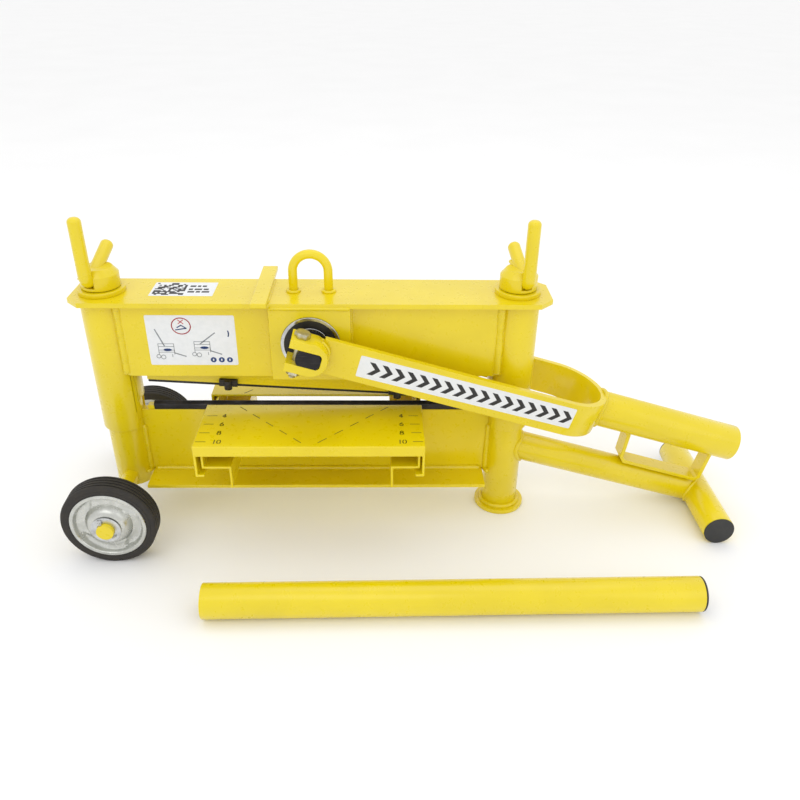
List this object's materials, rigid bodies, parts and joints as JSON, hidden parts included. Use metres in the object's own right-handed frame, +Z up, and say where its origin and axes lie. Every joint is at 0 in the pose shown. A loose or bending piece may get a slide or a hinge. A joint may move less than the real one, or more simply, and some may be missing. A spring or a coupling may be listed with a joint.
{
  "type": "paving block splitter",
  "caption": "Hand-operated paving block splitter: a forked lever presses a rocking knife towards a fixed knife; two screw columns set the cutting height; wheels and a leg carry it.",
  "frame": {"origin": "centre of the overall bounding box in X and Y, on the floor plane the wheels and foot stand on", "axes": "+Z up; +X from the wheel end towards the foot and along the lever; -Y towards the side with the loose extension tube"},
  "size_m": [0.882, 0.3805, 0.416],
  "materials": {
    "yellow_paint": "gloss enamel",
    "black_steel": "satin black",
    "bright_steel": "zinc plated, machined",
    "tyre_rubber": "moulded, matt",
    "black_plastic": "moulded cap"
  },
  "bodies": {
    "base": {"base_web": "yellow_paint", "base_flange": "yellow_paint", "left_inner_tube": "yellow_paint", "right_inner_tube": "yellow_paint", "spindle_nuts": "bright_steel", "foot_disc": "yellow_paint", "leg_tube": "yellow_paint", "cross_foot": "yellow_paint", "cross_foot_plugs": "black_plastic", "axle": "yellow_paint", "axle_washers": "bright_steel", "cotter_pins": "bright_steel", "front_rails": "yellow_paint", "rear_rails": "yellow_paint", "lower_blade": "black_steel", "blade_stops": "yellow_paint"},
    "front_wheel": {"front_tyre": "tyre_rubber", "front_rim": "bright_steel", "front_wheel_bush": "bright_steel"},
    "rear_wheel": {"rear_tyre": "tyre_rubber", "rear_rim": "bright_steel", "rear_wheel_bush": "bright_steel"},
    "upper_frame": {"top_plate": "yellow_paint", "front_web": "yellow_paint", "rear_web": "yellow_paint", "front_bearing_plate": "yellow_paint", "rear_bearing_plate": "yellow_paint", "left_outer_tube": "yellow_paint", "right_outer_tube": "yellow_paint", "top_strap": "yellow_paint", "lifting_eye": "yellow_paint", "thrust_rings": "yellow_paint", "bearing_outer_rings": "bright_steel", "bearing_seals": "black_plastic", "bearing_balls": "bright_steel", "return_springs": "bright_steel"},
    "left_spindle": {"left_screw": "bright_steel", "left_hub": "yellow_paint", "left_grips": "yellow_paint"},
    "right_spindle": {"right_screw": "bright_steel", "right_hub": "yellow_paint", "right_grips": "yellow_paint"},
    "lever": {"eccentric_shaft": "black_steel", "bearing_inner_rings": "bright_steel", "lever_fork": "yellow_paint", "front_clamp": "yellow_paint", "rear_clamp": "yellow_paint", "clamp_bolts": "bright_steel", "clamp_nuts": "bright_steel", "socket_tube": "yellow_paint", "grip_bracket": "yellow_paint"},
    "carrier": {"knife_carrier": "black_steel", "rocking_pin": "bright_steel"},
    "knife": {"knife_beam": "yellow_paint", "upper_blade": "black_steel", "blade_clips": "black_steel"},
    "front_support": {"front_table": "yellow_paint"},
    "rear_support": {"rear_table": "yellow_paint"},
    "extension_bar": {"extension_tube": "yellow_paint", "extension_plug": "black_plastic"}
  },
  "joints": [
    {"name": "front_wheel_spin", "type": "hinge", "parent": "base", "child": "front_wheel", "pos_m": [-0.38259, -0.0653, 0.0584], "axis": [0, 1, 0], "continuous": true},
    {"name": "rear_wheel_spin", "type": "hinge", "parent": "base", "child": "rear_wheel", "pos_m": [-0.38259, 0.1639, 0.0584], "axis": [0, 1, 0], "continuous": true},
    {"name": "left_spindle_turn", "type": "hinge", "parent": "upper_frame", "child": "left_spindle", "pos_m": [-0.38259, 0.0493, 0.325], "axis": [0, 0, 1], "range_deg": [0, 9001]},
    {"name": "right_spindle_turn", "type": "hinge", "parent": "upper_frame", "child": "right_spindle", "pos_m": [0.12241, 0.0493, 0.325], "axis": [0, 0, 1], "range_deg": [0, 9001]},
    {"name": "frame_lift", "type": "slide", "parent": "base", "child": "upper_frame", "axis": [0, 0, 1], "range_m": [0, 0.1]},
    {"name": "lever_swing", "type": "hinge", "parent": "upper_frame", "child": "lever", "pos_m": [-0.13009, 0.0493, 0.265], "axis": [0, -1, 0], "range_deg": [0, 127]},
    {"name": "knife_lift", "type": "slide", "parent": "upper_frame", "child": "carrier", "axis": [0, 0, 1], "range_m": [0, 0.01258], "deforming": ["return_springs"]},
    {"name": "knife_rock", "type": "hinge", "parent": "carrier", "child": "knife", "pos_m": [-0.13009, 0.0493, 0.2192], "axis": [0, 1, 0], "range_deg": [-6.7, 0]},
    {"name": "front_table_slide", "type": "slide", "parent": "base", "child": "front_support", "axis": [0, -1, 0], "range_m": [0, 0.06]},
    {"name": "rear_table_slide", "type": "slide", "parent": "base", "child": "rear_support", "axis": [0, 1, 0], "range_m": [0, 0.06]},
    {"name": "extension_lift", "type": "slide", "parent": "base", "child": "extension_bar", "axis": [0, 0, 1], "range_m": [0, 0.3]}
  ],
  "couplings": [
    {"joint": "left_spindle_turn", "follows": "frame_lift", "rad_per_m": 1570.8},
    {"joint": "right_spindle_turn", "follows": "frame_lift", "rad_per_m": 1570.8},
    {"joint": "knife_lift", "follows": "lever_swing", "m_per_rad": 0.0056525}
  ]
}
